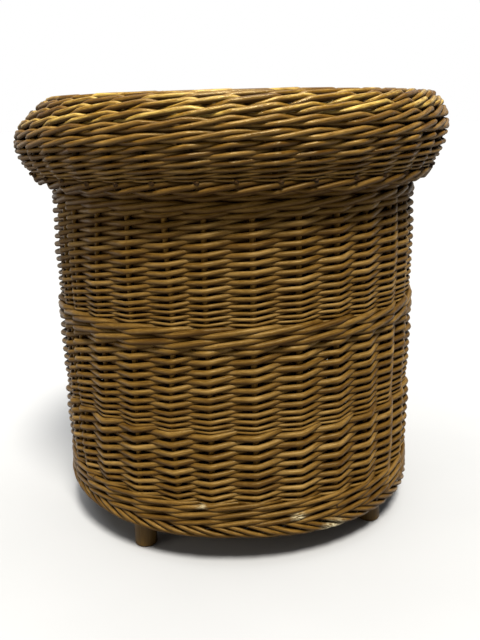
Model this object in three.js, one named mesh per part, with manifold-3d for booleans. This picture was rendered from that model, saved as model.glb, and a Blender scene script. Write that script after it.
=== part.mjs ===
// Round woven willow laundry hamper with a lift-off lid.
//
// Millimetres, +Z up. The origin is on the hamper's axis, on the surface that the feet stand on.
// -Y is the front. Angles around the hamper are measured from the front, towards +X.
//
// Every woven band is a ring as thick as its weave, with a clear channel for each stake that
// it is woven around. The uprights run from the foot border up through the bands and into the rim.
// The base board lies on the foot border, and the lowest band of the weave holds it down.

import * as THREE from 'three';
import { mergeVertices } from 'three/addons/utils/BufferGeometryUtils.js';
import Module from 'manifold-3d';

const wasm = await Module();
wasm.setup();

// ---- driving dimensions -------------------------------------------------------------------

const GAP = 0.3;                 // clearance between pieces that touch
const OVERCUT = 1;               // how far a cutter runs past the face that it opens

const SIDE_STAKES = 30;          // uprights in the wall
const SIDE_PHASE = 5.2;          // degrees from the front to the first upright
const STAKE_CIRCLE = 207;        // radius that the uprights stand on
const STAKE_RADIUS = 3.5;
const STAKE_FACETS = 6;
const WALL_OUTER = 216;
const WALL_INNER = 199;

const FOOT_HEIGHT = 36;          // from the floor to the underside of the foot border
const FOOT_RADIUS = 12.7;
const FOOT_CIRCLE = 189;
const FOOT_CHAMFER = 3;
const FOOT_FACETS = 16;
// angle of each foot
const FEET = {
  foot_front_left: -35.3, foot_front_right: 54.7, foot_rear_right: 144.7, foot_rear_left: 234.7,
};

const FOOT_BORDER_TOP = 50;
const FOOT_BORDER_OUTER = 217;
const FOOT_BORDER_INNER = 200.3;
const FOOT_BORDER_EDGE = 3;      // its outer edges are taken off by this much
const FOOT_BORDER_SOCKET = 10;   // how far an upright reaches down into the border

const BOARD_BOTTOM = FOOT_BORDER_TOP + GAP;
const BOARD_THICKNESS = 6;
const BOARD_RADIUS = 202.3;
const BOARD_TOP = BOARD_BOTTOM + BOARD_THICKNESS;

const SCREW_RADIUS = 2.1;
const SCREW_HEAD_RADIUS = 4.2;
const SCREW_HEAD_DEPTH = 2.6;
const SCREW_LENGTH = 32;
const SCREW_POINT = 5;
const SCREW_FACETS = 8;

// top of each woven band of the wall, from the board upwards
const BAND_TOPS = {
  bottom_wale: 74,
  lower_randing_second_set: 155,
  lower_randing_first_set: 247,
  middle_wale: 266,
  upper_randing: 384,
  top_wale: 403,
  neck_randing: 462,
};
const RIM_TOP = 481.7;           // top of the border that the lid rests on
const RIM_INNER = 198;
const RIM_EDGE_WIDTH = 4;        // its upper edges are taken off by this much
const RIM_EDGE_HEIGHT = 5;
const RIM_SOCKET = 10;           // how far an upright reaches into the border

const LID_STAKES = 38;
const LID_STAKE_WIDTH = 6;
const LID_LOWEST = 402;
const LID_BORDER_TOP = 411;
const LID_WALE_BOTTOM = 450;
const LID_TOP = 499;
const LID_UNDERSIDE = 482;       // face that rests on the rim
const LID_DISC_RADIUS = 221.5;
const LID_FLAT_RADIUS = 201;     // flat part of the lid's top
const LID_SHOULDER = 496;        // height of the disc's outer edge
const LID_DISC_HOLE = 22;        // filled by the crossing of the sticks
const LID_STAKE_INNER = 116;     // where a lid stake starts, inside the disc
const LID_BORDER_SOCKET = 4;

// outer and inner surface of the lid's skirt, [radius, height] from its border up to the disc
const SKIRT_OUTER = {
  border: [[229, LID_LOWEST], [234.5, LID_BORDER_TOP]],
  randing: [[234.5, LID_BORDER_TOP], [244, 430], [249.7, LID_WALE_BOTTOM]],
  wale: [[249.7, LID_WALE_BOTTOM], [250, 463], [245.5, 479], [LID_DISC_RADIUS, LID_SHOULDER]],
};
const SKIRT_INNER = {
  border: [[219.5, LID_LOWEST], [220.3, LID_BORDER_TOP]],
  randing: [[220.3, LID_BORDER_TOP], [228.5, 431], [234.5, LID_WALE_BOTTOM]],
  wale: [[234.5, LID_WALE_BOTTOM], [232.5, 470], [LID_DISC_RADIUS, LID_UNDERSIDE]],
};
// line that a lid stake follows: out of the disc, over the shoulder and down into the border
const LID_STAKE_LINE = [
  [LID_STAKE_INNER, 490.5], [196, 490], [225.5, 486], [240, 472], [242, LID_WALE_BOTTOM],
  [226.5, LID_BORDER_TOP - LID_BORDER_SOCKET],
];

const STICKS = 8;                // sticks crossing at the middle of the lid
const STICK_WIDTH = 7;
const STICK_REACH = 112;
const STICK_HEIGHT = 490.5;

// ---- materials ----------------------------------------------------------------------------

const material = (color, roughness, metalness = 0) =>
  new THREE.MeshStandardMaterial({ color, roughness, metalness });
const willow = material(0x8a6a35, 0.5);
const willowLid = material(0xa58347, 0.45);
const willowBorder = material(0x7d5e2c, 0.5);
const stakeWood = material(0x6b4f28, 0.6);
const footWood = material(0x5a4220, 0.5);
const plywood = material(0xb8935c, 0.7);
const steel = material(0xb9bcc0, 0.35, 1);

// ---- geometry helpers -----------------------------------------------------------------------

const radians = (degrees) => (degrees * Math.PI) / 180;

// Point on a circle around the hamper, with the angle taken from the front towards +X.
const around = (radius, degrees) =>
  [radius * Math.sin(radians(degrees)), -radius * Math.cos(radians(degrees))];

function toManifold(geometry) {
  const bare = geometry.clone();
  bare.deleteAttribute('normal');
  bare.deleteAttribute('uv');
  const merged = mergeVertices(bare, 1e-4);
  return new wasm.Manifold(new wasm.Mesh({
    numProp: 3,
    vertProperties: new Float32Array(merged.attributes.position.array),
    triVerts: new Uint32Array(merged.index.array),
  }));
}

function fromManifold(solid) {
  const { vertProperties, triVerts } = solid.getMesh();
  const geometry = new THREE.BufferGeometry();
  geometry.setAttribute('position', new THREE.BufferAttribute(new Float32Array(vertProperties), 3));
  geometry.setIndex([...triVerts]);
  return geometry;
}

function cut(geometry, cutters) {
  const tool = cutters.map(toManifold).reduce((all, next) => all.add(next));
  return fromManifold(toManifold(geometry).subtract(tool));
}

function join(geometries) {
  return fromManifold(geometries.map(toManifold).reduce((all, next) => all.add(next)));
}

// Turned solid about +Z. The profile is [radius, height] points, anticlockwise with the radius
// drawn to the right, and either starts and ends on the axis or is a closed loop.
function turned(profile, segments, phase = 0) {
  const points = profile.map(([radius, height]) => new THREE.Vector2(radius, height));
  if (profile[0][0] > 0) points.push(points[0].clone());
  const geometry = new THREE.LatheGeometry(points, segments);
  geometry.rotateX(Math.PI / 2);
  geometry.rotateZ(radians(phase));
  return geometry;
}

// Upright square or many-sided prism, centred on a circle and turned to face the axis.
function uprightPrism(circle, degrees, radius, sides, bottom, top) {
  const geometry = new THREE.CylinderGeometry(radius, radius, top - bottom, sides);
  geometry.rotateX(Math.PI / 2);
  geometry.rotateZ(Math.PI / sides + radians(degrees));
  const [x, y] = around(circle, degrees);
  geometry.translate(x, y, (bottom + top) / 2);
  return geometry;
}

// Strip of even thickness along a line in the radius-height plane, `width` across, set at an
// angle around the hamper. `extra` lengthens it at both ends.
function radialStrip(line, thickness, width, degrees, extra = 0) {
  const points = line.map(([radius, height]) => new THREE.Vector2(radius, height));
  const last = points.length - 1;
  const lengthen = (end, next) =>
    end.clone().add(end.clone().sub(next).setLength(extra));
  if (extra > 0) {
    points[0] = lengthen(points[0], points[1]);
    points[last] = lengthen(points[last], points[last - 1]);
  }
  const side = (sign) => points.map((point, i) => {
    const before = points[Math.max(i - 1, 0)];
    const after = points[Math.min(i + 1, last)];
    const along = after.clone().sub(before).normalize();
    return new THREE.Vector2(-along.y, along.x).multiplyScalar((sign * thickness) / 2).add(point);
  });
  const outline = new THREE.Shape([...side(-1), ...side(1).reverse()]);
  const geometry = new THREE.ExtrudeGeometry(outline, { depth: width, bevelEnabled: false });
  geometry.translate(0, 0, -width / 2);
  geometry.rotateX(Math.PI / 2);          // height now runs along +Z, the width along Y
  geometry.rotateZ(radians(degrees - 90));
  return geometry;
}

const sideAngles = Array.from({ length: SIDE_STAKES }, (_, k) => SIDE_PHASE + (360 / SIDE_STAKES) * k);
const lidAngles = Array.from({ length: LID_STAKES }, (_, k) => (360 / LID_STAKES) * k);

// ---- assembly -------------------------------------------------------------------------------

const hamper = new THREE.Group();
const basket = new THREE.Group();
const lid = new THREE.Group();
hamper.add(basket, lid);

function addMesh(group, name, geometry, finish) {
  const mesh = new THREE.Mesh(geometry, finish);
  mesh.name = name;
  group.add(mesh);
  return mesh;
}

// Square channels for the uprights, a little wider than the uprights themselves.
function stakeChannels(bottom, top) {
  const radius = (STAKE_RADIUS + GAP) * Math.SQRT2;
  return sideAngles.map((angle) => uprightPrism(STAKE_CIRCLE, angle, radius, 4, bottom, top));
}

function addFeet() {
  const top = BOARD_BOTTOM - GAP;
  const bore = SCREW_RADIUS + GAP;
  const boreBottom = BOARD_TOP - SCREW_LENGTH - GAP;
  const profile = [
    [0, 0], [FOOT_RADIUS - FOOT_CHAMFER, 0], [FOOT_RADIUS, FOOT_CHAMFER], [FOOT_RADIUS, top],
    [bore, top], [bore, boreBottom], [0, boreBottom],
  ];
  for (const [name, angle] of Object.entries(FEET)) {
    const foot = addMesh(basket, name, turned(profile, FOOT_FACETS), footWood);
    foot.position.set(...around(FOOT_CIRCLE, angle), 0);
  }
}

// Countersunk wood screw, head up, with its point at [0, 0].
function screwProfile(clearance) {
  const shank = SCREW_RADIUS + clearance;
  const head = SCREW_HEAD_RADIUS + clearance;
  const neck = SCREW_LENGTH - SCREW_HEAD_DEPTH;
  return [
    [0, 0], [shank, SCREW_POINT], [shank, neck], [head, SCREW_LENGTH], [0, SCREW_LENGTH],
  ];
}

function addScrews() {
  for (const [name, angle] of Object.entries(FEET)) {
    const body = turned(screwProfile(0), SCREW_FACETS);
    const screw = addMesh(basket, name.replace('foot', 'foot_screw'), body, steel);
    screw.position.set(...around(FOOT_CIRCLE, angle), BOARD_TOP - SCREW_LENGTH);
  }
}

function addBaseBoard() {
  const disc = new THREE.CylinderGeometry(BOARD_RADIUS, BOARD_RADIUS, BOARD_THICKNESS, SIDE_STAKES);
  disc.rotateX(Math.PI / 2);
  disc.rotateZ(radians(SIDE_PHASE));
  disc.translate(0, 0, (BOARD_BOTTOM + BOARD_TOP) / 2);
  const screwHoles = Object.values(FEET).map((angle) => {
    const hole = turned(screwProfile(GAP), SCREW_FACETS);
    hole.translate(...around(FOOT_CIRCLE, angle), BOARD_TOP - SCREW_LENGTH + GAP / 2);
    return hole;
  });
  addMesh(basket, 'base_board', cut(disc, screwHoles), plywood);
}

// Border worked from the lower ends of the uprights, each of which stands in a socket in it. The
// feet stand just inside it, and it is hollowed a little to pass them.
function addFootBorder() {
  const edge = FOOT_BORDER_EDGE;
  const profile = [
    [FOOT_BORDER_INNER, FOOT_HEIGHT], [FOOT_BORDER_OUTER - edge, FOOT_HEIGHT],
    [FOOT_BORDER_OUTER, FOOT_HEIGHT + edge], [FOOT_BORDER_OUTER, FOOT_BORDER_TOP - edge],
    [WALL_OUTER - edge, FOOT_BORDER_TOP], [FOOT_BORDER_INNER, FOOT_BORDER_TOP],
  ];
  const ring = turned(profile, SIDE_STAKES, SIDE_PHASE);
  const socketBottom = FOOT_BORDER_TOP - FOOT_BORDER_SOCKET - GAP;
  const openTop = FOOT_BORDER_TOP + OVERCUT;
  const sockets = stakeChannels(socketBottom, openTop);
  const hollow = (FOOT_RADIUS + GAP) / Math.cos(Math.PI / FOOT_FACETS);
  const hollows = Object.values(FEET).map((angle) =>
    uprightPrism(FOOT_CIRCLE, angle, hollow, FOOT_FACETS, FOOT_HEIGHT - OVERCUT, openTop));
  addMesh(basket, 'foot_border', cut(ring, [...sockets, ...hollows]), willowBorder);
}

// The lowest band is cut back inside, over the edge of the board.
function bandProfile(bottom, top) {
  const profile = [[WALL_OUTER, bottom], [WALL_OUTER, top], [WALL_INNER, top]];
  if (bottom > BOARD_TOP) return [...profile, [WALL_INNER, bottom]];
  const overBoard = BOARD_TOP + GAP;
  const besideBoard = BOARD_RADIUS + GAP;
  return [...profile, [WALL_INNER, overBoard], [besideBoard, overBoard], [besideBoard, bottom]];
}

function addWallBands() {
  let bottom = BOARD_BOTTOM;
  for (const [name, top] of Object.entries(BAND_TOPS)) {
    const band = turned(bandProfile(bottom, top), SIDE_STAKES, SIDE_PHASE);
    addMesh(basket, name, cut(band, stakeChannels(bottom - OVERCUT, top + OVERCUT)), willow);
    bottom = top + GAP;
  }
  return bottom;
}

// Border at the mouth. Each upright ends in a socket in its underside.
function addRimBorder(bottom) {
  const profile = [
    [RIM_INNER, bottom], [WALL_OUTER, bottom], [WALL_OUTER, RIM_TOP - RIM_EDGE_HEIGHT],
    [WALL_OUTER - RIM_EDGE_WIDTH, RIM_TOP], [RIM_INNER + RIM_EDGE_WIDTH, RIM_TOP],
    [RIM_INNER, RIM_TOP - RIM_EDGE_HEIGHT],
  ];
  const ring = turned(profile, SIDE_STAKES, SIDE_PHASE);
  const sockets = stakeChannels(bottom - OVERCUT, bottom + RIM_SOCKET + GAP);
  addMesh(basket, 'rim_border', cut(ring, sockets), willowBorder);
}

function addUprights(top) {
  const bottom = FOOT_BORDER_TOP - FOOT_BORDER_SOCKET;
  sideAngles.forEach((angle, k) => {
    const name = `side_stake_${String(k + 1).padStart(2, '0')}`;
    const upright = uprightPrism(STAKE_CIRCLE, angle, STAKE_RADIUS, STAKE_FACETS, bottom, top);
    addMesh(basket, name, upright, stakeWood);
  });
}

function lidStakeStrips(clearance) {
  const section = LID_STAKE_WIDTH + 2 * clearance;
  return lidAngles.map((angle) => radialStrip(LID_STAKE_LINE, section, section, angle, clearance));
}

// Ring between an outer and an inner surface, clipped at its lower and upper edge by the gap.
function skirtProfile(part, lift, drop) {
  const outer = SKIRT_OUTER[part].map((point) => [...point]);
  const inner = SKIRT_INNER[part].map((point) => [...point]);
  outer[0][1] += lift;
  inner[0][1] += lift;
  outer[outer.length - 1][1] -= drop;
  inner[inner.length - 1][1] -= drop;
  return [...outer, ...inner.reverse()];
}

// The lid's border is worked from the lower ends of its stakes, so they are one piece with it.
function addLidSkirt() {
  const channels = lidStakeStrips(GAP);
  const border = turned(skirtProfile('border', 0, GAP), LID_STAKES);
  const randing = turned(skirtProfile('randing', 0, GAP), LID_STAKES);
  const wale = turned(skirtProfile('wale', 0, 0), LID_STAKES);
  addMesh(lid, 'lid_stakes_and_border', join([border, ...lidStakeStrips(0)]), willowBorder);
  addMesh(lid, 'lid_randing', cut(randing, channels), willow);
  addMesh(lid, 'lid_wale', cut(wale, channels), willowLid);
}

// Woven disc of the lid, with a channel for each arm of the sticks and each lid stake.
function addLidDisc() {
  const edge = LID_DISC_RADIUS - GAP;
  const profile = [
    [LID_DISC_HOLE, LID_UNDERSIDE], [edge, LID_UNDERSIDE], [edge, LID_SHOULDER],
    [LID_FLAT_RADIUS, LID_TOP], [LID_DISC_HOLE, LID_TOP],
  ];
  const disc = turned(profile, LID_STAKES);
  const arms = stickBars(STICK_WIDTH + 2 * GAP, STICK_REACH + GAP);
  addMesh(lid, 'lid_disc_weave', cut(disc, [...lidStakeStrips(GAP), ...arms]), willowLid);
}

function stickBars(width, reach) {
  return Array.from({ length: STICKS }, (_, k) => {
    const bar = new THREE.BoxGeometry(2 * reach, width, width);
    bar.translate(0, 0, STICK_HEIGHT);
    bar.rotateZ(radians((180 / STICKS) * k));
    return bar;
  });
}

function addLidSticks() {
  addMesh(lid, 'lid_sticks', join(stickBars(STICK_WIDTH, STICK_REACH)), stakeWood);
}

// ---- build ----------------------------------------------------------------------------------

addFeet();
addScrews();
addBaseBoard();
addFootBorder();
const bandsTop = addWallBands();
addRimBorder(bandsTop);
addUprights(bandsTop + RIM_SOCKET);
addLidSkirt();
addLidDisc();
addLidSticks();

export default hamper;
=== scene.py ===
"""A woven willow laundry hamper: every rod of the basket and its lid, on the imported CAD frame.

Lengths are millimetres here, and make_object turns them into metres. Angles go round the hamper in
degrees, from the front (-Y) towards +X. A place is a stake number, whole at each stake.
"""
import math

import bpy
import numpy as np
from mathutils import Matrix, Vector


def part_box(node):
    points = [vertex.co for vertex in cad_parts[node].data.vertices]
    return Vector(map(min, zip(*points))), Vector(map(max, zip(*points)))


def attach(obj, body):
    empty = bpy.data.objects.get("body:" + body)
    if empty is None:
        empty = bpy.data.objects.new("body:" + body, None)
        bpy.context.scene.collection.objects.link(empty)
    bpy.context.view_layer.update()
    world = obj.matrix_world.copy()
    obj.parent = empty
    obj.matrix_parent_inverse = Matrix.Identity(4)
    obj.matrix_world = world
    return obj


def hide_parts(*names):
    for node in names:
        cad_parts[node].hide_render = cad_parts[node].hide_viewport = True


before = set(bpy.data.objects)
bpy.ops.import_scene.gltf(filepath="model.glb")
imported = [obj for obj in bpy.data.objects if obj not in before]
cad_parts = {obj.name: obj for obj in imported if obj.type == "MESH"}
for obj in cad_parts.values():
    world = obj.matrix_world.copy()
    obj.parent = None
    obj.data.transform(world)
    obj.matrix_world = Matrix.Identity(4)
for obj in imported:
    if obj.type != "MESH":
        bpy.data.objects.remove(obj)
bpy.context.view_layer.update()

MM = 0.001
rng = np.random.default_rng(20)


def node_box(name):
    """Lowest and highest corner of a CAD node."""
    low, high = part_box(name)
    return np.array(low) / MM, np.array(high) / MM


def node_heights(name):
    """Lowest and highest point of a CAD node."""
    low, high = node_box(name)
    return low[2], high[2]


# ---- the stakes and the surfaces that they run along ----

STAKE_NODES = sorted(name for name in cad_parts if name.startswith("side_stake_"))
SIDE_STAKES = len(STAKE_NODES)
stake_centres = [sum(node_box(name)) / 2 for name in STAKE_NODES]
FIRST_STAKE = math.degrees(math.atan2(stake_centres[0][0], -stake_centres[0][1]))
STAKE_CIRCLE = float(np.mean([math.hypot(c[0], c[1]) for c in stake_centres]))
STAKE_DIAMETER = 7.0
STAKE_FOOT, STAKE_TOP = node_heights(STAKE_NODES[0])

LID_STAKES = 38
LID_STAKE_DIAMETER = 6.0
LID_ARMS = 16               # arms that the lid's crossed sticks open out into
LID_LOW = node_heights("lid_stakes_and_border")[0]

HOLD_REACH = 40             # a stake wanders freely this far from where it is held
# slight waves of a weave: size, crests round the hamper and length that turns them by a radian
LEVEL_WAVES = ((0.5, 3, 37), (0.4, 7, -23))
RADIUS_WAVE = (0.5, 2, 90)


def wave(shape, angle, level, start):
    size, crests, length = shape
    return size * np.sin(crests * angle + level / length + start)


def fading(value, full, none):
    """1 from full on, 0 from none on, and straight between them."""
    return np.clip((none - value) / (none - full), 0, 1)


def smoothed(points, window=9.0, step=0.5):
    """Dense line through a few points, with its corners rounded."""
    points = np.array(points, float)
    lengths = np.concatenate([[0], np.cumsum(np.hypot(*np.diff(points, axis=0).T))])
    at = np.arange(0, lengths[-1], step)
    dense = np.stack([np.interp(at, lengths, points[:, k]) for k in (0, 1)], 1)
    half = int(window / step / 2)
    first = dense[0] - (dense[1:half + 1] - dense[0])[::-1]
    last = dense[-1] + (dense[-1] - dense[-half - 1:-1])[::-1]
    padded = np.concatenate([first, dense, last])
    kernel = np.ones(2 * half + 1) / (2 * half + 1)
    return np.stack([np.convolve(padded[:, k], kernel, "valid") for k in (0, 1)], 1)


class Surface:
    """A turned surface that stakes run along.

    level is the length along the stakes' centre line, and offset is the distance out from it.
    sway is how far, in degrees, the stakes wander, except near the levels where they are held.
    uneven gives how far the weave has risen, from the sine of the angle, the radius and the height.
    """

    def __init__(self, line, count, first_angle=0.0, sway=0.0, held=(-1e6, 1e6), uneven=None):
        self.line = smoothed(line)
        steps = np.hypot(*np.diff(self.line, axis=0).T)
        self.levels = np.concatenate([[0], np.cumsum(steps)])
        along = np.gradient(self.line, self.levels, axis=0)
        self.normal = np.stack([along[:, 1], -along[:, 0]], 1)
        self.count = count
        self.first_angle = first_angle
        self.held = held
        self.uneven = uneven
        self.lean = rng.normal(0, sway, count)
        self.bend = rng.normal(0, 0.6 * sway, count)
        self.bend_length = rng.uniform(150, 320, count)
        self.bend_start = rng.uniform(0, 2 * math.pi, count)
        self.wave_starts = rng.uniform(0, 2 * math.pi, 3)

    def level_at(self, height):
        """Level of the first point of the line at a height."""
        return float(self.levels[np.argmax(self.line[:, 1] >= height)])

    def level_at_radius(self, radius):
        """Level of the last point of the line at a radius."""
        return float(self.levels[len(self.levels) - 1 - np.argmax(self.line[::-1, 0] >= radius)])

    def _stake_angle(self, stake, level):
        """Degrees from the first stake's place to a stake."""
        k = np.mod(stake, self.count)
        swing = np.sin(2 * math.pi * level / self.bend_length[k] + self.bend_start[k])
        low, high = self.held
        free = fading(np.minimum(level - low, high - level), HOLD_REACH, 0)
        return 360 / self.count * stake + free * (self.lean[k] + self.bend[k] * swing)

    def angle(self, place, level):
        """Radians from the front."""
        stake = np.floor(place).astype(int)
        part = place - stake
        here, following = self._stake_angle(stake, level), self._stake_angle(stake + 1, level)
        return np.radians(self.first_angle + here * (1 - part) + following * part)

    def _profile(self, level):
        """Radius and height of the line, and its direction outwards and upwards."""
        return [np.interp(level, self.levels, column) for column in (*self.line.T, *self.normal.T)]

    def at(self, place, level, offset):
        """Points in space."""
        place, level, offset = np.broadcast_arrays(np.asarray(place, float), level, offset)
        angle = self.angle(place, level)
        *level_starts, radius_start = self.wave_starts
        level = level + sum(wave(shape, angle, level, start)
                            for shape, start in zip(LEVEL_WAVES, level_starts))
        radius, height, out, up = self._profile(level)
        radius = radius + out * offset + wave(RADIUS_WAVE, angle, level, radius_start)
        height = height + up * offset
        if self.uneven:
            height = height + self.uneven(np.sin(angle), radius, height)
        return np.stack([radius * np.sin(angle), -radius * np.cos(angle), height], -1)

    def outward(self, place, level):
        """Direction square to the surface."""
        place, level = np.broadcast_arrays(np.asarray(place, float), level)
        angle = self.angle(place, level)
        _, _, out, up = self._profile(level)
        return np.stack([out * np.sin(angle), -out * np.cos(angle), up], -1)


WALL_START = node_heights("foot_border")[0] - 10
NECK_STARTS = 330           # the wall is straight up to here, and draws in a little under the lid
NECK_DRAWN_IN = 2.5
WALL_LINE = [(STAKE_CIRCLE, WALL_START), (STAKE_CIRCLE, NECK_STARTS),
             (STAKE_CIRCLE - 1.5, LID_LOW - 16), (STAKE_CIRCLE - NECK_DRAWN_IN, LID_LOW + 8),
             (STAKE_CIRCLE - NECK_DRAWN_IN, STAKE_TOP + 20)]

# centre line of the lid's stakes, as radius and height over the lid's lower edge: from inside the
# border, up and over the shoulder, to the middle
LID_SECTION = [(223, -3), (225.8, 2.5), (229, 9), (232.8, 16.4), (238, 26.7), (242, 36.2),
               (244.2, 44.8), (244.6, 54), (243.6, 62.2), (240.2, 69.4), (234.3, 77.2), (225.3, 83),
               (213.6, 86), (199.5, 87), (150, 87.5), (80, 88), (0, 88.5)]
LID_LINE = [(radius, LID_LOW + rise) for radius, rise in LID_SECTION]

# how far the real hamper's weave has settled out of true at its left and right
FOOT_RISE_LEFT = 6
FOOT_DROP_RIGHT = 8
HEM_RISE = 5
SHOULDER_RISE_RIGHT = 6
SHOULDER_DROP_LEFT = 12


def wall_settling(sideways, radius, height):
    """The foot of the wall has dropped at the right and risen at the left."""
    left, right = np.clip(-sideways, 0, 1), np.clip(sideways, 0, 1)
    return fading(height, 50, 135) * (FOOT_RISE_LEFT * left ** 4 - FOOT_DROP_RIGHT * right)


def lid_settling(sideways, radius, height):
    """The lid's shoulder has dropped at the left and risen at the right, and its lower edge has
    risen at both sides.
    """
    left, right = np.clip(-sideways, 0, 1), np.clip(sideways, 0, 1)
    above = height - LID_LOW
    hem = HEM_RISE * fading(above, 3, 28) * sideways ** 4
    shoulder = fading(above, 70, 10) * fading(radius, 234, 212)
    return hem + shoulder * (SHOULDER_RISE_RIGHT * right ** 3 - SHOULDER_DROP_LEFT * left ** 1.5)


wall = Surface(WALL_LINE, SIDE_STAKES, FIRST_STAKE, sway=0.75, uneven=wall_settling,
               held=(STAKE_FOOT + 8 - WALL_START, STAKE_TOP - WALL_START))
lid_skirt = Surface(LID_LINE, LID_STAKES, sway=0.45, held=(-60.0, 1e6), uneven=lid_settling)
lid_arms = Surface(LID_LINE, LID_ARMS, first_angle=180 / LID_ARMS)
lid_cross = Surface(LID_LINE, 4)


# ---- round rods ----

UP = (0.0, 0.0, 1.0)
SIDES = 10
END_REACH, END_SIZE = 0.22, 0.72    # a rounded end, as parts of the rod's radius
CUT_REACH, CUT_SIZE = 0.02, 0.93    # an end that is sawn square
# where the stained outside is scuffed bare: angle, height and reach
WORN_SPOTS = [(28, 33, 16), (17, 56, 7), (-11.5, 73, 5), (-37, 86, 5)]
# where a woven rod is sampled between one stake and the next, closest together at the stakes
STEPS = np.array([0.0, 0.05, 0.13, 0.28, 0.5, 0.72, 0.87, 0.95])


def along_stakes(start, end):
    """Sample places from start to end, closest together at the stakes."""
    whole = np.arange(math.floor(start), math.ceil(end))[:, None] + STEPS
    inner = whole.ravel()
    inner = inner[(inner > start + 0.02) & (inner < end - 0.02)]
    return np.concatenate([[start], inner, [end]])


def unit(vectors):
    return vectors / np.linalg.norm(vectors, axis=-1, keepdims=True)


class Bundle:
    """Round rods that become one mesh.

    Every point keeps the place in its rod (for the grain), its rod's own tone, how deep it lies in
    the weave, and how far it faces outwards, which the willow material reads; it paints shade from
    the depth and the facing.
    """

    def __init__(self, sides=SIDES):
        self.sides = sides
        self.rods = []

    def add(self, path, diameter, outward, depth=0.0, cut=False):
        """cut leaves the first end of the rod sawn square; other ends are rounded off."""
        count = len(path)
        diameter = np.broadcast_to(diameter, count).astype(float)
        depth = np.broadcast_to(depth, count).astype(float)
        along = unit(np.gradient(path, axis=0))
        outward = np.broadcast_to(outward, path.shape)
        side = unit(np.cross(along, outward))
        out = np.cross(side, along)
        lengths = np.concatenate([[0], np.cumsum(np.linalg.norm(np.diff(path, axis=0), axis=1))])
        radius = diameter / 2 * (1 + 0.02 * np.sin(lengths / 9 + rng.uniform(0, 6)))
        reach, size = (CUT_REACH, CUT_SIZE) if cut else (END_REACH, END_SIZE)
        ring_path = np.concatenate([[path[0] - along[0] * radius[0] * reach], path,
                                    [path[-1] + along[-1] * radius[-1] * END_REACH]])
        ring_radius = np.concatenate([[radius[0] * size], radius, [radius[-1] * END_SIZE]])
        self.rods.append({
            "path": ring_path,
            "radius": ring_radius,
            "out": np.concatenate([out[:1], out, out[-1:]]),
            "side": np.concatenate([side[:1], side, side[-1:]]),
            "length": np.concatenate([lengths[:1] - 1, lengths, lengths[-1:] + 1]),
            "depth": np.concatenate([depth[:1], depth, depth[-1:]]),
            "tone": rng.normal(0, 1),
            "shift": rng.uniform(0, 4000),
        })

    def lay(self, surface, place, level, offset, diameter, depth):
        """A rod along a surface."""
        self.add(surface.at(place, level, offset), diameter, surface.outward(place, level), depth)

    def make(self, name, material):
        """The mesh of all the rods, with one tidy strip of UV map for each."""
        turn = np.arange(self.sides) * 2 * math.pi / self.sides
        cosine, sine = np.cos(turn)[None, :, None], np.sin(turn)[None, :, None]
        points, grain, tone, depth, facing, faces, tape = [], [], [], [], [], [], []
        base = 0
        for rod in self.rods:
            radius = rod["radius"][:, None, None]
            ring = (rod["path"][:, None] + radius * (cosine * rod["out"][:, None]
                                                     + sine * rod["side"][:, None]))
            count = len(rod["path"])
            ends = rod["path"][[0, -1]]
            points += [ring.reshape(-1, 3), ends]
            length = (rod["length"] + rod["shift"])[:, None]
            grain.append(np.stack([radius[..., 0] * cosine[..., 0], radius[..., 0] * sine[..., 0],
                                   np.broadcast_to(length, (count, self.sides))],
                                  -1).reshape(-1, 3))
            grain.append(np.stack([np.zeros(2), np.zeros(2), length[[0, -1], 0]], -1))
            tone.append(np.full(count * self.sides + 2, rod["tone"]))
            depth += [np.repeat(rod["depth"], self.sides), rod["depth"][[0, -1]]]
            facing += [np.tile(cosine[0, :, 0], count), np.zeros(2)]
            k = np.arange(self.sides)
            after = np.roll(k, -1)
            rows = base + np.arange(count - 1)[:, None] * self.sides
            quads = np.stack([rows + k, rows + k + self.sides, rows + after + self.sides,
                              rows + after], -1)
            faces.append(quads.reshape(-1, 4))
            last_ring, tip = base + (count - 1) * self.sides, base + count * self.sides
            caps = np.stack([base + k, base + after, np.full(self.sides, tip)], -1)
            tops = np.stack([last_ring + after, last_ring + k, np.full(self.sides, tip + 1)], -1)
            tape.append((count - 1, np.linalg.norm(np.diff(rod["path"], axis=0), axis=1),
                         2 * math.pi * float(rod["radius"].max())))
            faces.append(np.concatenate([caps, tops]))
            base += count * self.sides + 2
        points = np.concatenate(points)
        made = make_object(name, points, faces, material)
        for attribute, values in (("grain", grain), ("tone", tone), ("depth", depth),
                                  ("facing", facing)):
            add_attribute(made, attribute, np.concatenate(values))
        add_attribute(made, "worn", worn_by(points))
        add_strip_map(made, tape, self.sides)
        return made


def worn_by(points):
    """How much of the stain is scuffed off at each point, from 0 to 1."""
    worn = np.zeros(len(points))
    radius = STAKE_CIRCLE + 8
    for turn, height, reach in WORN_SPOTS:
        angle = math.radians(turn)
        spot = np.array([radius * math.sin(angle), -radius * math.cos(angle), height])
        away = np.linalg.norm((points - spot) * (1, 1, 1.6), axis=1)
        worn = np.maximum(worn, np.clip(1.3 - away / reach, 0, 1))
    return worn


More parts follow.
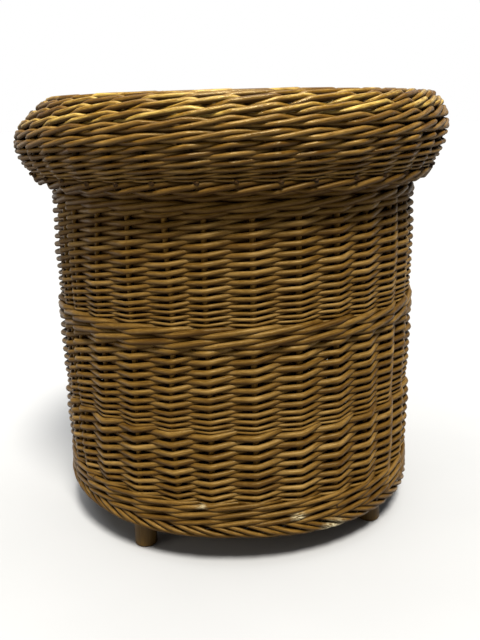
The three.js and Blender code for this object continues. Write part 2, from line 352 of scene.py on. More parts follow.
def make_object(name, points, faces, material):
    """Mesh object from points in millimetres and arrays of faces, each of one number of corners."""
    mesh = bpy.data.meshes.new(name)
    corners = np.concatenate([block.ravel() for block in faces])
    counts = np.concatenate([np.full(len(block), block.shape[1]) for block in faces])
    mesh.vertices.add(len(points))
    mesh.vertices.foreach_set("co", (np.asarray(points) * MM).astype(np.float32).ravel())
    mesh.loops.add(len(corners))
    mesh.loops.foreach_set("vertex_index", corners.astype(np.int32))
    mesh.polygons.add(len(counts))
    starts = np.concatenate([[0], np.cumsum(counts)[:-1]])
    mesh.polygons.foreach_set("loop_start", starts.astype(np.int32))
    mesh.polygons.foreach_set("use_smooth", np.ones(len(counts), bool))
    mesh.update(calc_edges=True)
    mesh.validate()
    mesh.materials.append(material)
    made = bpy.data.objects.new(name, mesh)
    bpy.context.collection.objects.link(made)
    return made


def add_attribute(made, name, values):
    """A number or a vector for every point."""
    kind, field = ("FLOAT", "value") if values.ndim == 1 else ("FLOAT_VECTOR", "vector")
    attribute = made.data.attributes.new(name, kind, "POINT")
    attribute.data.foreach_set(field, values.astype(np.float32).ravel())


def add_strip_map(made, tape, sides):
    """Lays the skin of every rod on the UV square as strips, side by side in columns."""
    margin = 1.5
    width = max(around for _, _, around in tape) + margin
    total = sum(lengths.sum() + margin for _, lengths, _ in tape)
    column = math.sqrt(total * width) * 1.01
    columns = math.ceil(total / column) + 1
    scale = 1 / max(column, columns * width)
    uv = []
    used = 0.0
    k = np.arange(sides)
    for rows, lengths, around in tape:
        starts = used + np.concatenate([[0], np.cumsum(lengths)[:-1]])
        low = np.mod(starts, column) * 0.995
        which = np.floor(starts / column)
        high = low + lengths
        left = which[:, None] * width + k * around / sides
        right = left + around / sides
        low = np.broadcast_to(low[:, None], left.shape)
        high = np.broadcast_to(high[:, None], left.shape)
        quads = np.stack([np.stack([left, low], -1), np.stack([left, high], -1),
                          np.stack([right, high], -1), np.stack([right, low], -1)], -2)
        uv.append(quads.reshape(-1, 2))
        for row in (0, rows - 1):
            edge = np.stack([left[row], low[row]], -1)
            far = np.stack([right[row], low[row]], -1)
            tip = np.stack([(left[row] + right[row]) / 2, high[row]], -1)
            order = (edge, far, tip) if row == 0 else (far, edge, tip)
            uv.append(np.stack(order, -2).reshape(-1, 2))
        used += lengths.sum() + margin
    layer = made.data.uv_layers.new(name="OFBake")
    layer.data.foreach_set("uv", (np.concatenate(uv) * scale).astype(np.float32).ravel())


# ---- weaves ----

TAPER_POWER = 2.2           # a rod thins slowly at first and fast towards its tip
END_TUCK = 2.0              # how far the ends of a rod are tucked in behind the others
REAR_SPREAD = 0.1           # how much thicker the randing is at the back, to let less light through
STAKE_STEP = 7.0
ROPE_PIECE = 6              # the longest rod of a rolled border, in stakes
ROPE_STEPS = 12             # samples from stake to stake


def rounded(turns, values, at, soften=0.05):
    """A repeating line through (turn, value) corners, with its corners rounded."""
    period = turns[-1]
    shifts = np.linspace(-soften, soften, 7)
    return np.mean([np.interp(np.mod(at + shift, period), turns, values) for shift in shifts],
                   axis=0)


def wandering(at, amount, every=1.0):
    """Smooth seeded wandering about zero along a rod."""
    knots = np.arange(math.floor(at.min() / every) - 1, math.ceil(at.max() / every) + 2)
    return np.interp(at / every, knots, rng.normal(0, amount, len(knots)))


def near_ends(at, reach):
    """1 at both ends of a rod, and 0 from reach on."""
    return fading(at - at[0], 0, reach) + fading(at[-1] - at, 0, reach)


def squeezed(size, front):
    """Rods are pressed thinner where they cross over, and spread a little behind the stakes."""
    return size * (0.9 + 0.1 * np.abs(front) + 0.22 * np.clip(-front, 0, 1))


def randing(bundle, surface, stake, top, bottom, rows, taper=0.6, fill=0.66, dip=1.0):
    """French randing: one rod starts at every stake and goes in front of one, behind one.

    The rods start with their thick ends at the top, so the rows close up downwards. taper is how
    much of its thickness a rod loses, fill how much of its row it takes up, and dip how far it is
    tapped down in front of a stake.
    """
    def covered(x):
        return x - taper * x ** (TAPER_POWER + 1) / (TAPER_POWER + 1)

    def level(row):
        x = np.clip((row + 0.5) / rows, 0, 1)
        return top + (bottom - top) * covered(x) / covered(1)

    def pitch(row):
        x = np.clip((row + 0.5) / rows, 0, 1)
        return abs(top - bottom) * (1 - taper * x ** TAPER_POWER) / covered(1) / rows

    for first in range(surface.count):
        t = along_stakes(-0.72, 2 * rows - 1.3)
        front = rounded([0, 1, 2], [1, -1, 1], t)
        size = fill * pitch(t / 2) * rng.normal(1, 0.04) + wandering(t, 0.1)
        offset = front * (stake / 2 + size / 2) + wandering(t, 0.15)
        size = squeezed(size, front)
        offset = offset - END_TUCK * near_ends(t, 0.5)
        heights = level(t / 2) - dip * front + wandering(t, 0.25)
        place = first - t
        size = size * (1 + REAR_SPREAD * np.clip(2 * surface.outward(place, heights)[:, 1], 0, 1))
        bundle.lay(surface, place, heights, offset, size, 0.5 - 0.5 * front)


def strand_starts(count, period):
    """Start and length, in stakes, of each strand that goes round once, and together close."""
    if count % period == 0:
        return [(start, count) for start in range(period)]
    whole = period * round(count / period)
    lengths = [whole] * (period - 1) + [period * count - whole * (period - 1)]
    return list(zip(np.cumsum([0] + lengths[:-1]), lengths))


def waling(bundle, surface, stake, low, high, rows, period=3, fill=(0.52, 0.52), climb=0.27):
    """Rounds of a wale: each strand goes in front of period - 1 stakes and behind one.

    A strand starts its stroke low, below the one before it, and climbs over the one that follows.
    fill is how thick the rods are in the first and in the last round, and climb is how far a strand
    goes above and below the middle of its round, both in rounds.
    """
    pitch = (high - low) / rows
    turns = np.arange(period + 1)
    fronts = np.ones(period + 1)
    fronts[period - 1] = -1
    for row in range(rows):
        centre = low + (row + 0.5) * pitch
        for start, length in strand_starts(surface.count, period):
            t = along_stakes(-0.3, length + 0.3)
            u = np.mod(t + period - 1, period)
            size = np.interp(row, (0, max(rows - 1, 1)), fill) * pitch * rng.normal(1.0, 0.03)
            size = size + wandering(t, 0.1)
            front = rounded(turns, fronts, u)
            rise = rounded([0, period - 2, period - 1.55, period - 0.45, period],
                           [-1, 1, 1.1, -1.1, -1], u, 0.16) * climb * pitch
            offset = front * (stake / 2 + size / 2) + wandering(t, 0.12)
            size = squeezed(size, front)
            offset = offset - END_TUCK * near_ends(t, 0.4)
            heights = centre + rise + wandering(t, 0.2)
            bundle.lay(surface, start + t, heights, offset, size, 0.5 - 0.5 * front)


def rope(bundle, surface, level, offset, swing, size, spread, direction, strands, turns, hurry=0.0):
    """A rolled border: strands that wind round a line, each in pieces that end inside it.

    swing is how far from the line the rods wind, and turns is how many times a strand winds on its
    way round the hamper. direction is 1 where the strands rise to the right outside, and -1 where
    they fall. spread is the turn of each rod of a strand from the strand's middle, and hurry makes
    a strand cross the outside steeply and then run along the lower edge.
    """
    period = surface.count / turns
    for strand in range(strands):
        for lean in spread:
            stops = list(range(0, surface.count, ROPE_PIECE)) + [surface.count]
            for begin, end in zip(stops[:-1], stops[1:]):
                t = np.linspace(begin - 0.1, end + 0.1, (end - begin) * ROPE_STEPS + 1)
                turn = direction * (2 * math.pi * t / period - math.pi) + lean
                turn = turn + direction * hurry * np.sin(direction * (turn - 0.5))
                thick = size * rng.normal(1, 0.04) + wandering(t, 0.08)
                round_line = swing - 1.5 * near_ends(t, 0.3)
                heights = level + round_line * np.sin(turn)
                outs = offset + round_line * np.cos(turn)
                place = strand * period / strands + t
                bundle.lay(surface, place, heights, outs, thick, 0.35 - 0.35 * np.cos(turn))


def stakes(bundle, surface, low, high, butt, tip):
    """The stakes of a surface, butt thick at the low end and tip at the high one."""
    for stake in range(surface.count):
        level = np.arange(low, high, STAKE_STEP)
        size = np.linspace(butt, tip, len(level)) * rng.normal(1, 0.03)
        offset = wandering(level, 0.2, every=60)
        bundle.add(surface.at(float(stake), level, offset), size,
                   across(surface, stake, level), depth=0.3)


def across(surface, stake, level):
    """Direction round the hamper, square to a stake."""
    angle = surface.angle(np.full(len(level), float(stake)), level)
    return np.stack([np.cos(angle), np.sin(angle), np.zeros(len(level))], -1)


# ---- materials ----

def srgb(red, green, blue):
    """Linear colour from an 8-bit one."""
    def linear(value):
        value = value / 255
        return value / 12.92 if value <= 0.04045 else ((value + 0.055) / 1.055) ** 2.4
    return (linear(red), linear(green), linear(blue), 1.0)


class Nodes:
    """Short calls for building a node material."""

    def __init__(self, name):
        self.material = bpy.data.materials.new(name)
        self.material.use_nodes = True
        self.tree = self.material.node_tree
        self.shader = self.tree.nodes["Principled BSDF"]

    def new(self, kind, **settings):
        node = self.tree.nodes.new("ShaderNode" + kind)
        for key, value in settings.items():
            setattr(node, key, value)
        return node

    def link(self, source, target):
        self.tree.links.new(source, target)

    def put(self, socket, value):
        if hasattr(value, "is_output"):
            self.link(value, socket)
        else:
            socket.default_value = value

    def attribute(self, name, output="Fac"):
        return self.new("Attribute", attribute_name=name).outputs[output]

    def place(self, vector, scale):
        node = self.new("Mapping")
        self.put(node.inputs["Vector"], vector)
        node.inputs["Scale"].default_value = scale
        return node.outputs["Vector"]

    def noise(self, vector, detail=3.0, roughness=0.55):
        node = self.new("TexNoise")
        self.put(node.inputs["Vector"], vector)
        node.inputs["Scale"].default_value = 1.0
        node.inputs["Detail"].default_value = detail
        node.inputs["Roughness"].default_value = roughness
        return node.outputs["Fac"]

    def math(self, operation, a, b=0.0, clamp=False):
        node = self.new("Math", operation=operation, use_clamp=clamp)
        self.put(node.inputs[0], a)
        self.put(node.inputs[1], b)
        return node.outputs[0]

    def ramp(self, value, *stops):
        node = self.new("ValToRGB")
        self.put(node.inputs["Fac"], value)
        elements = node.color_ramp.elements
        while len(elements) < len(stops):
            elements.new(0.5)
        for element, (position, colour) in zip(elements, stops):
            element.position = position
            element.color = colour
        return node.outputs["Color"]

    def mix(self, amount, a, b):
        """A mix node takes its colours at sockets 6 and 7, and gives one at 2."""
        node = self.new("Mix", data_type="RGBA")
        self.put(node.inputs["Factor"], amount)
        self.put(node.inputs[6], a)
        self.put(node.inputs[7], b)
        return node.outputs[2]

    def spread(self, value, low, high, to_low=0.0, to_high=1.0):
        node = self.new("MapRange")
        self.put(node.inputs["Value"], value)
        for key, number in (("From Min", low), ("From Max", high), ("To Min", to_low),
                            ("To Max", to_high)):
            node.inputs[key].default_value = number
        return node.outputs["Result"]

    def bump(self, height, strength, distance):
        node = self.new("Bump")
        node.inputs["Strength"].default_value = strength
        node.inputs["Distance"].default_value = distance
        self.put(node.inputs["Height"], height)
        self.link(node.outputs["Normal"], self.shader.inputs["Normal"])

    def gloss(self, level):
        self.shader.inputs["Specular IOR Level"].default_value = level

    def finish(self, colour, roughness, metallic=0.0):
        self.put(self.shader.inputs["Base Color"], colour)
        self.put(self.shader.inputs["Roughness"], roughness)
        self.shader.inputs["Metallic"].default_value = metallic
        return self.material


VARNISH_TINT = (1.0, 0.84, 0.46, 1.0)
BARE_WILLOW = srgb(196, 186, 150)


def willow_material(name, dark, middle, light, painted_shade_colour, gloss=0.2, shade_below=-0.75,
                    roughness=(0.3, 0.46)):
    """Stained and varnished willow: fibres along the rod and a tone for each rod.

    Painted shade darkens the rods towards the painted shade colour in the gaps, behind the stakes
    and underneath. It is full where the surface faces down as far as shade_below.
    """
    n = Nodes(name)
    grain = n.attribute("grain", "Vector")
    fibres = n.noise(n.place(grain, (1.9, 1.9, 0.035)), detail=4.0, roughness=0.65)
    blotches = n.noise(n.place(grain, (0.10, 0.10, 0.016)), detail=2.0)
    mottle = n.noise(n.place(grain, (0.5, 0.5, 0.085)), roughness=0.65)
    specks = n.noise(n.place(grain, (0.55, 0.55, 0.16)), detail=1.0)
    tone = n.math("MULTIPLY", n.attribute("tone"), 0.035)
    shade = n.math("ADD", n.math("MULTIPLY", fibres, 0.35), n.math("MULTIPLY", blotches, 0.3))
    shade = n.math("ADD", shade, n.math("MULTIPLY", mottle, 0.35))
    shade = n.math("ADD", shade, tone, clamp=True)
    colour = n.ramp(shade, (0.37, dark), (0.5, middle), (0.63, light))
    knots = n.spread(specks, 0.66, 0.76)
    colour = n.mix(n.math("MULTIPLY", knots, 0.5), colour, dark)
    # painted shade: darker where a rod runs behind a stake and on its flanks where rods meet
    depth = n.spread(n.attribute("depth"), 0.25, 0.9)
    painted_flank_shade = n.spread(n.attribute("facing"), 0.35, -0.45)
    painted_gap_shade = n.math("MAXIMUM", n.math("MULTIPLY", depth, 0.8), n.math("MULTIPLY", painted_flank_shade, 0.6))
    # painted shade on the undersides, from which way the surface faces
    normal = n.new("SeparateXYZ")
    n.link(n.new("TexCoord").outputs["Normal"], normal.inputs[0])
    painted_underside_shade = n.spread(normal.outputs["Z"], 0.55, shade_below, 0.0, 0.88)
    painted_shade = n.math("MAXIMUM", painted_gap_shade, painted_underside_shade)
    # the rods turn towards the painted shade colour wherever shade is painted
    colour = n.mix(painted_shade, colour, painted_shade_colour)
    height = n.math("ADD", n.math("MULTIPLY", fibres, 0.5), n.math("MULTIPLY", mottle, 0.6))
    n.bump(height, 0.5, 0.001)
    scratches = n.spread(n.noise(n.place(grain, (1.2, 1.2, 0.22)), detail=2.0), 0.4, 0.55)
    bare = n.math("MULTIPLY", n.attribute("worn"), scratches)
    colour = n.mix(n.math("MULTIPLY", bare, 0.85), colour, BARE_WILLOW)
    n.gloss(gloss)
    n.shader.inputs["Specular Tint"].default_value = VARNISH_TINT
    sheen = n.spread(fibres, 0.3, 0.75, *roughness)
    # the surface is rougher wherever shade is painted
    return n.finish(colour, n.math("MAXIMUM", sheen, painted_shade))


def cut_wood_material():
    """Sawn ends of rods, dark from staining."""
    n = Nodes("willow_cut_ends")
    grain = n.attribute("grain", "Vector")
    rings = n.noise(n.place(grain, (0.9, 0.9, 0.2)))
    colour = n.ramp(rings, (0.35, srgb(16, 8, 1)), (0.55, srgb(46, 29, 8)),
                    (0.75, srgb(92, 66, 26)))
    n.bump(rings, 0.3, 0.0005)
    n.gloss(0.1)
    return n.finish(colour, 0.7)


def dowel_material():
    """Dark stained dowel, grain upright."""
    n = Nodes("dowel_stain")
    spot = n.new("TexCoord").outputs["Object"]
    grain = n.noise(n.place(spot, (420, 420, 18)), detail=5.0, roughness=0.6)
    broad = n.noise(n.place(spot, (60, 60, 9)), detail=2.0)
    shade = n.math("ADD", n.math("MULTIPLY", grain, 0.6), n.math("MULTIPLY", broad, 0.5))
    colour = n.ramp(shade, (0.35, srgb(40, 25, 6)), (0.55, srgb(72, 52, 17)),
                    (0.8, srgb(100, 76, 32)))
    n.bump(grain, 0.25, 0.0004)
    n.gloss(0.15)
    return n.finish(colour, n.spread(grain, 0.3, 0.7, 0.4, 0.58))


def plywood_material():
    """Ply with long cathedral grain, stained as dark as the willow."""
    n = Nodes("stained_plywood")
    spot = n.new("TexCoord").outputs["Object"]
    figure = n.noise(n.place(spot, (7, 38, 60)), detail=6.0, roughness=0.6)
    fine = n.noise(n.place(spot, (60, 900, 300)))
    shade = n.math("ADD", n.math("MULTIPLY", figure, 0.75), n.math("MULTIPLY", fine, 0.25))
    colour = n.ramp(shade, (0.32, srgb(52, 33, 9)), (0.5, srgb(78, 54, 19)),
                    (0.7, srgb(100, 73, 30)))
    n.gloss(0.25)
    n.bump(fine, 0.2, 0.0003)
    return n.finish(colour, n.spread(fine, 0.3, 0.7, 0.5, 0.68))


def steel_material():
    """Zinc plated screw."""
    n = Nodes("zinc_plate")
    spot = n.new("TexCoord").outputs["Object"]
    cloud = n.noise(n.place(spot, (700, 700, 700)))
    colour = n.ramp(cloud, (0.3, srgb(168, 170, 172)), (0.7, srgb(206, 206, 202)))
    n.bump(cloud, 0.1, 0.0001)
    return n.finish(colour, n.spread(cloud, 0.3, 0.7, 0.26, 0.42), metallic=1.0)


wall_willow = willow_material("willow_wall_stain", srgb(66, 43, 9), srgb(98, 72, 27),
                              srgb(131, 104, 57), srgb(40, 17, 2))
# a lighter copy of the willow for the lid's top: painted light from above
lid_willow = willow_material("willow_lid_stain", srgb(75, 44, 1), srgb(122, 88, 16),
                             srgb(206, 176, 92), srgb(36, 12, 0), gloss=0.62, shade_below=-0.35,
                             roughness=(0.2, 0.34))
# a darker copy of the lid's willow for its lower rounds and side: painted shade
skirt_willow = willow_material("willow_skirt_stain", srgb(70, 43, 5), srgb(102, 72, 20),
                               srgb(144, 112, 56), srgb(34, 11, 0), gloss=0.4,
                               roughness=(0.22, 0.36))
# a darker copy of the wall's willow; on the top wale it is painted shade under the lid
border_willow = willow_material("willow_border_stain", srgb(60, 38, 7), srgb(87, 62, 21),
                                srgb(117, 89, 42), srgb(36, 14, 1))
# stakes painted lighter than the wall's willow, so that they show in the shaded gaps: painted light
stake_willow = willow_material("willow_stake_stain", srgb(92, 63, 20), srgb(118, 84, 30),
                               srgb(142, 106, 46), srgb(26, 14, 3), gloss=0.1)
# the lid's stakes painted near black so that they stay hidden: painted shade
lid_stake_willow = willow_material("willow_lid_stake_stain", srgb(32, 19, 3), srgb(48, 30, 7),
                                   srgb(66, 45, 14), srgb(12, 6, 1), gloss=0.05)
cut_willow = cut_wood_material()


def show(made, body, slot, *nodes):
    """The piece moves with a body and stands for the named CAD nodes; slot is not used."""
    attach(made, body)
    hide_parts(*nodes)


# ---- the basket ----

BAND_OVERLAP = 1.8
FOOT_BORDER_ROD = 4.8
FOOT_BORDER_SPILL = 3.0     # how far the border bulges over its neighbours, above and below
RIM_BORDER_ROD = 5.2
LID_WEAVE_BELOW = 3.4       # how far the lid's rods stand below the CAD face that rests on the rim
# rods that were cut off on the outside of the wall: angle, height and diameter
CUT_BUTTS = [(28, 60, 5.6), (3.5, 386, 4.2), (-52, 70, 4.6), (74, 262, 4.4), (141, 64, 5.2),
             (-118, 388, 4.6), (-160, 60, 5.0)]


def wall_band(node, rows, weave, material, slot, **settings):
    """One woven band of the wall, beaten down tight against its neighbours."""
    low, high = node_heights(node)
    low, high = wall.level_at(low - BAND_OVERLAP), wall.level_at(high + BAND_OVERLAP)
    bundle = Bundle()
    if weave is randing:
        randing(bundle, wall, STAKE_DIAMETER, high, low, rows, **settings)
    else:
        waling(bundle, wall, STAKE_DIAMETER, low, high, rows, **settings)
    show(bundle.make("woven_" + node, material), "basket", slot, node)


wall_band("bottom_wale", 3, waling, border_willow, "willow_wall", fill=(0.6, 0.6))
wall_band("lower_randing_second_set", 9, randing, wall_willow, "willow_wall", taper=0.5)
wall_band("lower_randing_first_set", 11, randing, wall_willow, "willow_wall", taper=0.58)
wall_band("middle_wale", 2, waling, wall_willow, "willow_wall", fill=(0.6, 0.6))
wall_band("upper_randing", 15, randing, wall_willow, "willow_wall", taper=0.6, fill=0.64)
# painted shade under the lid: the top wale takes the darker border willow
wall_band("top_wale", 2, waling, border_willow, "willow_wall", fill=(0.58, 0.58))
wall_band("neck_randing", 7, randing, wall_willow, "willow_wall", taper=0.3)


def make_uprights():
    bundle = Bundle()
    stakes(bundle, wall, wall.level_at(STAKE_FOOT + 3), wall.level_at(STAKE_TOP), STAKE_DIAMETER,
           STAKE_DIAMETER - 0.8)
    show(bundle.make("uprights", stake_willow), "basket", "stake_willow", *STAKE_NODES)


def make_foot_border():
    low, high = node_heights("foot_border")
    outer = node_box("foot_border")[1][0]
    swing = (high - low) / 2 + FOOT_BORDER_SPILL - FOOT_BORDER_ROD / 2
    bundle = Bundle()
    rope(bundle, wall, wall.level_at((low + high) / 2),
         outer - STAKE_CIRCLE - swing - FOOT_BORDER_ROD / 2, swing, FOOT_BORDER_ROD,
         (-0.45, 0.45), -1, strands=4, turns=8, hurry=0.15)
    show(bundle.make("rolled_foot_border", border_willow), "basket", "willow_border", "foot_border")


def make_rim_border():
    low, high = node_heights("rim_border")
    high -= LID_WEAVE_BELOW
    swing = (high - low) / 2 - RIM_BORDER_ROD / 2
    bundle = Bundle()
    rope(bundle, wall, wall.level_at((low + high) / 2), 1.5, swing, RIM_BORDER_ROD,
         (-0.8, 0.0, 0.8), 1, strands=2, turns=15)
    show(bundle.make("rolled_rim_border", border_willow), "basket", "willow_border", "rim_border")


def cut_end(bundle, surface, place, level, size, rise):
    """The sawn end of a rod that comes out between others and leans along them."""
    base = surface.at(place, level, 1.0)
    along = across(surface, place, np.array([level]))[0]
    out = unit(surface.outward(place, level) + 0.9 * along + np.array([0, 0, rise]))
    reach = np.array([8.6, 6.5, 4.0, 0.0])[:, None]     # the sawn end comes first
    bundle.add(base + out * reach, size, UP, depth=0.1, cut=True)


def make_cut_butts():
    bundle = Bundle()
    for turn, height, size in CUT_BUTTS:
        place = (turn - FIRST_STAKE) * SIDE_STAKES / 360
        cut_end(bundle, wall, place, wall.level_at(height), size, 0.1)
    show(bundle.make("wall_cut_butts", cut_willow), "basket", "willow_wall", "bottom_wale")


make_uprights()
make_foot_border()
make_rim_border()


# ---- the lid ----

LID_BORDER_LEVELS = lid_skirt.level_at(LID_LOW + 1.2), lid_skirt.level_at(LID_LOW + 10.6)
LID_RANDING_LOW = lid_skirt.level_at(LID_LOW + 11)
LID_STAKE_ENDS = lid_skirt.level_at(LID_LOW + 12.6)
LID_RANDING_TOP = lid_skirt.level_at(node_heights("lid_wale")[0])
LID_ROUNDS = 6
PAINTED_LIGHT_FROM = 2           # first round of the lid's wale that is painted lighter: painted light from above
LID_ROUND = 10.8            # how far one round of the lid's wale takes up
LID_WALE_END = LID_RANDING_TOP + LID_ROUNDS * LID_ROUND
ARM_END = 110.0             # the disc's inner weave runs from here to the crossed sticks
CROSS_RADII = 34, 32, 20    # where the inner weave ends, and from where to where the cross is tied
DISC_START = lid_skirt.level_at_radius(ARM_END)


def make_lid_wale():
    """The upper rounds are painted lighter than the lower ones: painted light and shade."""
    parts = (("woven_lid_wale_lower", skirt_willow, 0, PAINTED_LIGHT_FROM, (0.48, 0.5)),
             ("woven_lid_wale_upper", lid_willow, PAINTED_LIGHT_FROM, LID_ROUNDS, (0.51, 0.56)))
    for name, material, first, last, fill in parts:
        bundle = Bundle()
        waling(bundle, lid_skirt, LID_STAKE_DIAMETER, LID_RANDING_TOP + first * LID_ROUND,
               LID_RANDING_TOP + last * LID_ROUND, last - first, fill=fill)
        show(bundle.make(name, material), "lid", "willow_lid", "lid_wale")


def make_lid_randing():
    bundle = Bundle()
    randing(bundle, lid_skirt, LID_STAKE_DIAMETER, LID_RANDING_TOP, LID_RANDING_LOW, 6, dip=-1.8)
    show(bundle.make("woven_lid_randing", skirt_willow), "lid", "willow_wall", "lid_randing")


def make_lid_stakes():
    bundle = Bundle()
    stakes(bundle, lid_skirt, LID_BORDER_LEVELS[0] + 3, DISC_START - 4, LID_STAKE_DIAMETER,
           LID_STAKE_DIAMETER - 1)
    show(bundle.make("lid_stakes", lid_stake_willow), "lid", "willow_border",
         "lid_stakes_and_border")


def make_lid_border():
    bundle = Bundle()
    waling(bundle, lid_skirt, LID_STAKE_DIAMETER - 1, *LID_BORDER_LEVELS, 1, fill=(0.54, 0.54),
           climb=0.4)
    show(bundle.make("rolled_lid_border", border_willow), "lid", "willow_border",
         "lid_stakes_and_border")


def make_lid_stake_ends():
    """The trimmed ends of the lid's stakes, just above the border."""
    bundle = Bundle()
    for stake in range(LID_STAKES):
        cut_end(bundle, lid_skirt, stake + rng.normal(0.02, 0.03), LID_STAKE_ENDS,
                rng.normal(4.3, 0.3), rng.normal(0.15, 0.08))
    show(bundle.make("lid_stake_ends", cut_willow), "lid", "willow_border", "lid_stakes_and_border")


def make_lid_disc():
    """Randing from the shoulder in, then pairing on the arms, and two rounds that tie the cross."""
    weave_end, tie_start, tie_end = (lid_arms.level_at_radius(radius) for radius in CROSS_RADII)
    outer = Bundle()
    randing(outer, lid_skirt, LID_STAKE_DIAMETER, LID_WALE_END, DISC_START + 5, 12, taper=0.12)
    show(outer.make("woven_lid_disc_outer", lid_willow), "lid", "willow_lid", "lid_disc_weave")
    inner = Bundle()
    waling(inner, lid_arms, LID_STAKE_DIAMETER + 1, DISC_START - 3, weave_end, 12, period=2,
           fill=(0.66, 0.6))
    waling(inner, lid_cross, LID_STAKE_DIAMETER + 2, tie_start, tie_end, 2, period=2,
           fill=(0.6, 0.6))
    show(inner.make("woven_lid_disc_inner", lid_willow), "lid", "willow_lid", "lid_disc_weave")


def make_lid_sticks():
    """Four sticks through four split ones at the middle, opened out into arms."""
    bundle = Bundle(sides=12)
    size = LID_STAKE_DIAMETER + 1
    height = LID_LINE[-1][1]
    x = np.linspace(-ARM_END, ARM_END, 61)
    distance = np.abs(x)
    opened = fading(distance, 42, 16)
    opened = opened * opened * (3 - 2 * opened)
    middle = fading(distance, 0, 20) ** 0.5
    pz = np.interp(distance, [0, 80, 150], [height, height - 0.5, height - 1.5])
    for turn, swell in ((0, 0.35), (math.pi / 2, -0.35)):
        for k in range(4):
            spread = math.radians((k - 1.5) * 360 / LID_ARMS)
            aside = (k - 1.5) * size
            px = x * (1 - opened + opened * math.cos(spread))
            py = aside * (1 - opened) + distance * opened * math.sin(spread)
            thick = size * (1 + swell * middle) * rng.normal(1, 0.02)
            path = np.stack([math.cos(turn) * px - math.sin(turn) * py,
                             math.sin(turn) * px + math.cos(turn) * py, pz], -1)
            bundle.add(path, thick, UP, depth=0.3)
    show(bundle.make("crossed_lid_sticks", border_willow), "lid", "stake_willow", "lid_sticks")


# the random draws follow the order of these calls
make_lid_wale()
make_lid_randing()
make_lid_stakes()
make_lid_border()
make_lid_stake_ends()
make_cut_butts()
make_lid_disc()
make_lid_sticks()


# ---- board, feet and screws ----

def turned(profile, segments, centre=(0, 0)):
    """Points and faces of a turned solid whose profile starts and ends on the axis."""
    inner = np.array(profile[1:-1], float)
    angle = np.arange(segments) * 2 * math.pi / segments
    ring = np.stack([inner[:, 0, None] * np.cos(angle) + centre[0],
                     inner[:, 0, None] * np.sin(angle) + centre[1],
                     np.broadcast_to(inner[:, 1, None], (len(inner), segments))], -1).reshape(-1, 3)
    ends = [(centre[0], centre[1], profile[0][1]), (centre[0], centre[1], profile[-1][1])]
    k = np.arange(segments)
    after = np.roll(k, -1)
    rows = np.arange(len(inner) - 1)[:, None] * segments
    quads = np.stack([rows + k, rows + after, rows + segments + after, rows + segments + k], -1)
    last = (len(inner) - 1) * segments
    low = np.stack([after, k, np.full(segments, len(ring))], -1)
    high = np.stack([last + k, last + after, np.full(segments, len(ring) + 1)], -1)
    return np.concatenate([ring, ends]), [quads.reshape(-1, 4), np.concatenate([low, high])]


def arc(centre, radius, start, end, count=6):
    """Points of a profile round a centre, between two angles in degrees."""
    angles = np.radians(np.linspace(start, end, count))
    return [(centre[0] + radius * math.cos(a), centre[1] + radius * math.sin(a)) for a in angles]


BOARD_INSET = 1.5           # the board ends a little inside its CAD edge
BOARD_ROUND = 1.2
SOLE_ROUND = 3.2


def make_board():
    low, high = node_box("base_board")
    middle = high[0] - BOARD_INSET - BOARD_ROUND
    profile = [(0, low[2])] + arc((middle, low[2] + BOARD_ROUND), BOARD_ROUND, -90, 0)
    profile += arc((middle, high[2] - BOARD_ROUND), BOARD_ROUND, 0, 90) + [(0, high[2])]
    points, faces = turned(profile, 160)
    show(make_object("plywood_base", points, faces, plywood_material()), "basket", "plywood",
         "base_board")


def make_feet():
    """Dowels with a rounded sole, whose sides are not quite true."""
    material = dowel_material()
    for name in ("foot_front_left", "foot_front_right", "foot_rear_right", "foot_rear_left"):
        low, high = node_box(name)
        centre = (low + high)[:2] / 2
        radius = (high - low)[0] / 2
        profile = [(0, 0.0)] + arc((radius - SOLE_ROUND, SOLE_ROUND), SOLE_ROUND, -90, 0, 8)
        profile += [(radius, h) for h in np.linspace(8, high[2] - 1, 8)] + [(radius - 0.6, high[2])]
        profile += [(0, high[2])]
        points, faces = turned(profile, 56, centre)
        wobble = 1 + 0.006 * np.sin(3 * np.arctan2(*(points[:, :2] - centre).T) + points[:, 2] / 14)
        points[:, :2] = centre + (points[:, :2] - centre) * np.minimum(wobble, 1.0)[:, None]
        show(make_object(name.replace("foot", "dowel_foot"), points, faces, material),
             "basket", "foot_dowel", name)


SHANK_RADIUS = 2.1
CORE_RADIUS = 1.4
THREAD_STEP = 0.5           # from a crest to the next groove
PLAIN_SHANK = 8             # from the top of the thread to the top of the head
HEAD_HEIGHT = 2.8
CROSS_REACH, CROSS_HALF_WIDTH, CROSS_DEPTH = 2.7, 0.7, 1.2


def make_screws():
    """Countersunk screws with a thread and a cross cut into the head."""
    material = steel_material()
    for name in sorted(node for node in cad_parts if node.startswith("foot_screw_")):
        low, high = node_box(name)
        centre = (low + high)[:2] / 2
        head = (high - low)[0] / 2
        tip, top = low[2], high[2]
        profile = [(0, tip)]
        for h in np.arange(tip + 1, top - PLAIN_SHANK - 1, THREAD_STEP):
            core = min(CORE_RADIUS, 0.3 * (h - tip))
            crest = min(SHANK_RADIUS, 0.5 * (h - tip))
            profile.append((crest if round((h - tip) / THREAD_STEP) % 2 == 0 else core, h))
        profile += [(SHANK_RADIUS - 0.2, top - down) for down in (PLAIN_SHANK, HEAD_HEIGHT)]
        profile += [(head - 0.15, top - 0.3), (head, top - 0.1), (head - 0.1, top)]
        profile += [(CROSS_REACH - 0.1, top), (0, top)]
        points, faces = turned(profile, 32, centre)
        x, y = (points[:, :2] - centre).T
        on_head = points[:, 2] > top - 0.05
        in_arm = np.minimum(np.abs(x), np.abs(y)) < CROSS_HALF_WIDTH
        points[on_head & in_arm & (np.hypot(x, y) < CROSS_REACH), 2] -= CROSS_DEPTH
        show(make_object(name.replace("foot_", ""), points, faces, material), "basket",
             "screw_steel", name)


make_board()
make_feet()
make_screws()


# ---- floor, light and camera ----

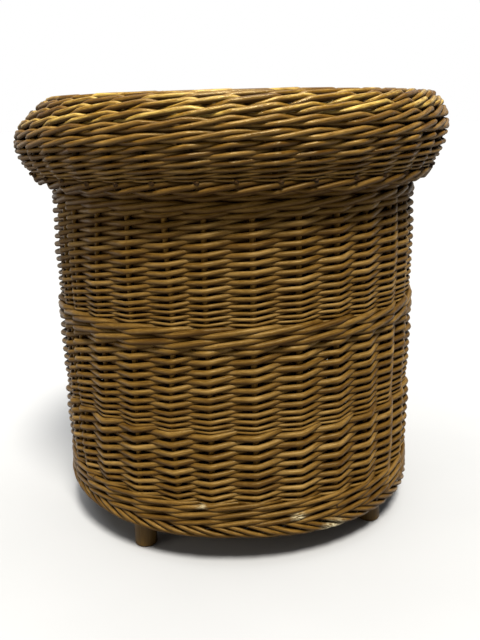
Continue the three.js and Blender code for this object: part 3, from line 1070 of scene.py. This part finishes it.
CAMERA_PLACE = (0, -0.965, 0.473)
CAMERA_TURN, CAMERA_TIP, CAMERA_ROLL = -0.3, 14.62, -1.32   # degrees: sideways, down and over


def make_floor():
    """A wide, pale, matt floor."""
    n = Nodes("pale_floor")
    spot = n.new("TexCoord").outputs["Object"]
    cloud = n.noise(n.place(spot, (3, 3, 3)))
    n.finish(n.ramp(cloud, (0.3, (0.39, 0.40, 0.412, 1)), (0.7, (0.41, 0.42, 0.432, 1))), 0.8)
    reach = 30000.0
    points = reach * np.array([(-1, -1, 0), (1, -1, 0), (1, 1, 0), (-1, 1, 0)])
    floor = make_object("floor", points, [np.array([[0, 1, 2, 3]])], n.material)


def add_far_light(name, angle, elevation, width, strength, colour=(1, 1, 1)):
    """A soft light from an angle round the hamper, width degrees across."""
    data = bpy.data.lights.new(name, "SUN")
    data.energy = strength
    data.angle = math.radians(width)
    data.color = colour
    light = bpy.data.objects.new(name, data)
    bpy.context.collection.objects.link(light)
    light.rotation_euler = (math.radians(90 - elevation), 0, math.radians(angle))
    light.location = (0, 0, 3)


def make_light():
    """A white backdrop, soft light from all sides, and three lamps: above, in front and left."""
    world = bpy.data.worlds.new("studio")
    bpy.context.scene.world = world
    world.use_nodes = True
    tree = world.node_tree
    background = tree.nodes["Background"]
    direction = tree.nodes.new("ShaderNodeTexCoord").outputs["Generated"]
    parts = tree.nodes.new("ShaderNodeSeparateXYZ")
    strength = tree.nodes.new("ShaderNodeMapRange")
    tree.links.new(direction, parts.inputs[0])
    tree.links.new(parts.outputs["Y"], strength.inputs["Value"])
    for key, value in (("From Min", -0.5), ("From Max", 0.8), ("To Min", 0.13), ("To Max", 0.45)):
        strength.inputs[key].default_value = value
    seen = tree.nodes.new("ShaderNodeMix")
    seen_by = tree.nodes.new("ShaderNodeLightPath")
    tree.links.new(seen_by.outputs["Is Camera Ray"], seen.inputs["Factor"])
    tree.links.new(strength.outputs["Result"], seen.inputs["A"])
    seen.inputs["B"].default_value = 1.0
    tree.links.new(seen.outputs["Result"], background.inputs["Strength"])
    background.inputs["Color"].default_value = (1.0, 1.0, 1.0, 1)
    add_far_light("overhead", 0, 90, width=70, strength=2.4)
    add_far_light("key", 13, 60, width=15, strength=5.8, colour=(1.0, 0.95, 0.87))
    add_far_light("fill", -60, 12, width=40, strength=0.7, colour=(1.0, 0.9, 0.76))


def make_camera():
    """In front of the hamper and near its height, looking a little down."""
    data = bpy.data.cameras.new("camera")
    data.sensor_fit = "VERTICAL"
    data.sensor_height = 36.0
    data.lens = 44.1
    data.clip_end = 200
    camera = bpy.data.objects.new("camera", data)
    bpy.context.collection.objects.link(camera)
    tilt = (Matrix.Rotation(math.radians(CAMERA_TURN), 4, "Z")
            @ Matrix.Rotation(math.radians(90 - CAMERA_TIP), 4, "X")
            @ Matrix.Rotation(math.radians(CAMERA_ROLL), 4, "Z"))
    camera.matrix_world = Matrix.Translation(CAMERA_PLACE) @ tilt
    bpy.context.scene.camera = camera


make_floor()
make_light()
make_camera()

bpy.context.scene.view_settings.view_transform = "Standard"
